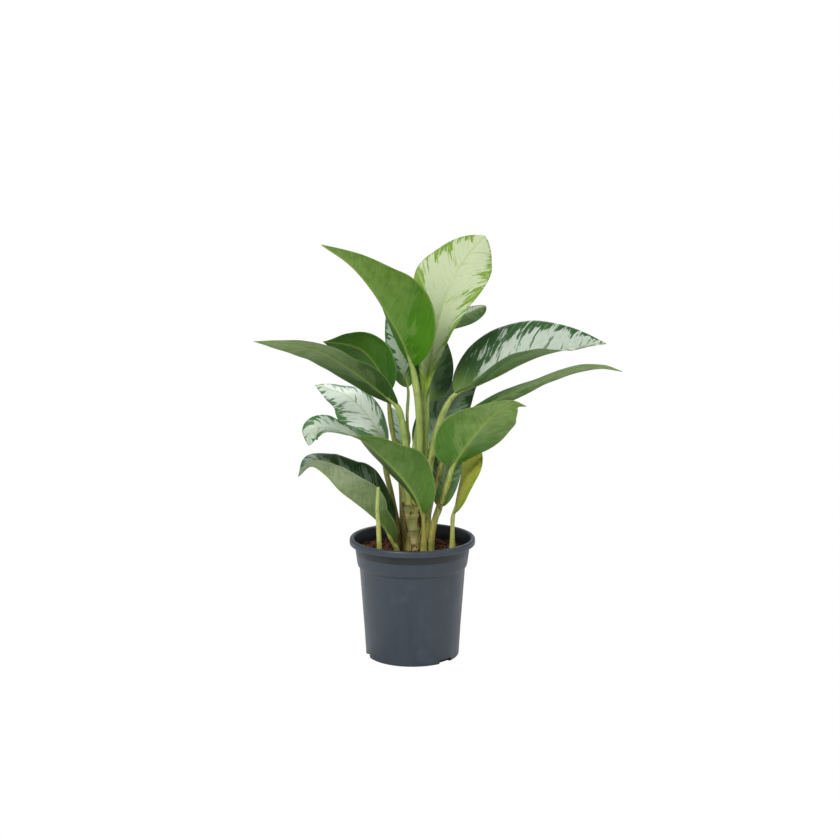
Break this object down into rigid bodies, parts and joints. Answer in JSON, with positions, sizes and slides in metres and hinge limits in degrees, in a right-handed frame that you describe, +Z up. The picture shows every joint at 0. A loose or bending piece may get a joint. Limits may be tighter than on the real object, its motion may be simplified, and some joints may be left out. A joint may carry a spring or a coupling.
{
  "type": "potted plant",
  "caption": "Chinese evergreen with silver-patterned leaves on long stalks, planted in a round slate-grey nursery pot with a thick lip.",
  "frame": {"origin": "centre of the pot's base, on the surface it stands on", "axes": "+Z up out of the pot, +X to the right of the front view, +Y away from the front"},
  "size_m": [0.3446, 0.1788, 0.3996],
  "materials": {
    "pot_plastic": "satin",
    "potting_mix": "matte",
    "cane_tissue": "satin",
    "stalk_tissue": "satin",
    "leaf_tissue": "satin",
    "old_leaf": "satin"
  },
  "bodies": {
    "root": {"pot": "pot_plastic", "potting_mix": "potting_mix", "cane": "cane_tissue", "leaf_crown_left_stalk": "stalk_tissue", "leaf_crown_left_blade": "leaf_tissue", "leaf_crown_right_stalk": "stalk_tissue", "leaf_crown_right_blade": "leaf_tissue", "leaf_crown_back_stalk": "stalk_tissue", "leaf_crown_back_blade": "leaf_tissue", "leaf_crown_inner_stalk": "stalk_tissue", "leaf_crown_inner_blade": "leaf_tissue", "leaf_left_long_stalk": "stalk_tissue", "leaf_left_long_blade": "leaf_tissue", "leaf_left_upper_stalk": "stalk_tissue", "leaf_left_upper_blade": "leaf_tissue", "leaf_left_silver_stalk": "stalk_tissue", "leaf_left_silver_blade": "leaf_tissue", "leaf_left_inner_stalk": "stalk_tissue", "leaf_left_inner_blade": "leaf_tissue", "leaf_front_left_stalk": "stalk_tissue", "leaf_front_left_blade": "leaf_tissue", "leaf_low_left_stalk": "stalk_tissue", "leaf_low_left_blade": "leaf_tissue", "leaf_right_upper_stalk": "stalk_tissue", "leaf_right_upper_blade": "leaf_tissue", "leaf_right_long_stalk": "stalk_tissue", "leaf_right_long_blade": "leaf_tissue", "leaf_right_middle_stalk": "stalk_tissue", "leaf_right_middle_blade": "leaf_tissue", "leaf_right_yellow_stalk": "stalk_tissue", "leaf_right_yellow_blade": "old_leaf", "leaf_back_upper_stalk": "stalk_tissue", "leaf_back_upper_blade": "leaf_tissue", "leaf_back_right_stalk": "stalk_tissue", "leaf_back_right_blade": "leaf_tissue", "leaf_back_low_stalk": "stalk_tissue", "leaf_back_low_blade": "leaf_tissue", "cut_stalk": "stalk_tissue"}
  },
  "joints": []
}
